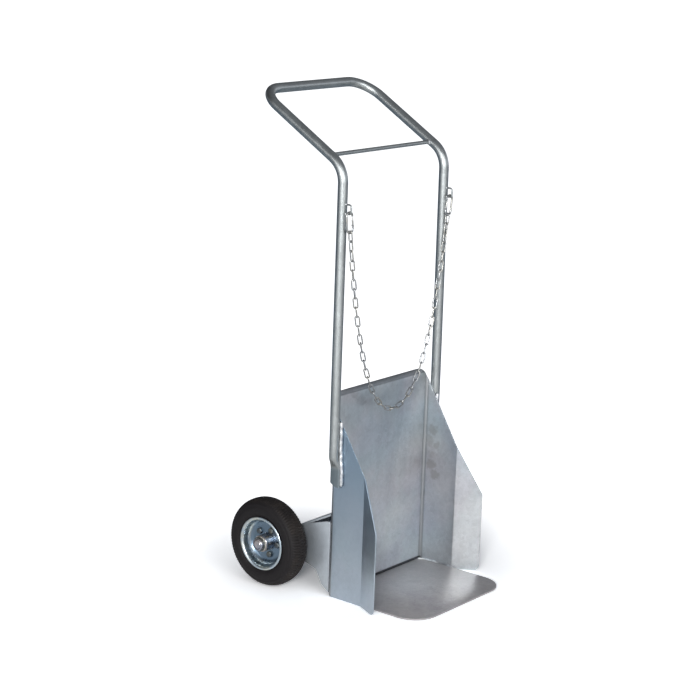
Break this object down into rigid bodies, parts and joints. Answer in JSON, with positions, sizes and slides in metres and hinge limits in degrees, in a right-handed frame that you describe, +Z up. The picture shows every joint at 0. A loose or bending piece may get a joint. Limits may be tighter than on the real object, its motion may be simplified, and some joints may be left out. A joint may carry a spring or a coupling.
{
  "type": "gas cylinder trolley",
  "caption": "Bent-tube trolley for a gas cylinder: folded sheet trough, foot plate, retaining chain on snap hooks, and rubber-tyred wheels on a sheet axle carrier.",
  "frame": {"origin": "on the floor, at the centre of the trolley's outline seen from above", "axes": "+Z up, +X along the axle to the user's right-hand side seen from the front, -Y towards the foot plate's front edge, +Y towards the handle"},
  "size_m": [0.486, 0.5016, 1.1162],
  "materials": {
    "sheet": "dull galvanised",
    "tube": "satin galvanised",
    "plate": "satin galvanised",
    "weld": "rough weld under zinc",
    "chain": "zinc plated",
    "rim": "bright zinc plated",
    "rubber": "matt black rubber",
    "nylon": "natural nylon"
  },
  "bodies": {
    "frame": {"trough": "sheet", "foot_plate": "plate", "frame_tube": "tube", "cross_rod": "tube", "axle_carrier": "sheet", "axle": "rim", "weld_bead_left": "weld", "weld_bead_right": "weld", "chain_eye_left": "tube", "chain_eye_right": "tube", "axle_cap_left": "rim", "axle_cap_right": "rim", "washer_left": "rim", "wheel_spacer_left": "rim", "washer_right": "rim", "wheel_spacer_right": "rim"},
    "chain": {"snap_hook_left": "chain", "snap_hook_right": "chain", "chain_strand_1": "chain", "chain_strand_2": "chain", "chain_strand_3": "chain", "chain_strand_4": "chain", "chain_strand_5": "chain", "chain_strand_6": "chain", "chain_strand_7": "chain"},
    "gate_left": {"hook_gate_left": "chain"},
    "gate_right": {"hook_gate_right": "chain"},
    "wheel_left": {"tyre_left": "rubber", "rim_outer_left": "rim", "rim_inner_left": "rim", "hub_tube_left": "rim", "bush_outer_left": "nylon", "bush_inner_left": "nylon", "rim_bolt_left_1": "rim", "rim_bolt_left_2": "rim", "rim_bolt_left_3": "rim", "rim_bolt_left_4": "rim", "rim_bolt_left_5": "rim"},
    "wheel_right": {"tyre_right": "rubber", "rim_outer_right": "rim", "rim_inner_right": "rim", "hub_tube_right": "rim", "bush_outer_right": "nylon", "bush_inner_right": "nylon", "rim_bolt_right_1": "rim", "rim_bolt_right_2": "rim", "rim_bolt_right_3": "rim", "rim_bolt_right_4": "rim", "rim_bolt_right_5": "rim"}
  },
  "joints": [
    {"name": "wheel_left_spin", "type": "hinge", "parent": "frame", "child": "wheel_left", "pos_m": [-0.204, 0.14925, 0.1015], "axis": [1, 0, 0], "continuous": true},
    {"name": "wheel_right_spin", "type": "hinge", "parent": "frame", "child": "wheel_right", "pos_m": [0.204, 0.14925, 0.1015], "axis": [1, 0, 0], "continuous": true},
    {"name": "chain_swing", "type": "hinge", "parent": "frame", "child": "chain", "pos_m": [0, -0.03425, 0.87055], "axis": [-1, 0, 0], "range_deg": [-2.5, 50]},
    {"name": "gate_left_open", "type": "hinge", "parent": "chain", "child": "gate_left", "pos_m": [-0.16566, -0.03425, 0.84059], "axis": [0, -1, 0], "range_deg": [0, 22], "stiffness_Nm_per_rad": 0.01, "springref_deg": -11.46},
    {"name": "gate_right_open", "type": "hinge", "parent": "chain", "child": "gate_right", "pos_m": [0.16566, -0.03425, 0.84059], "axis": [0, 1, 0], "range_deg": [0, 22], "stiffness_Nm_per_rad": 0.01, "springref_deg": -11.46}
  ]
}
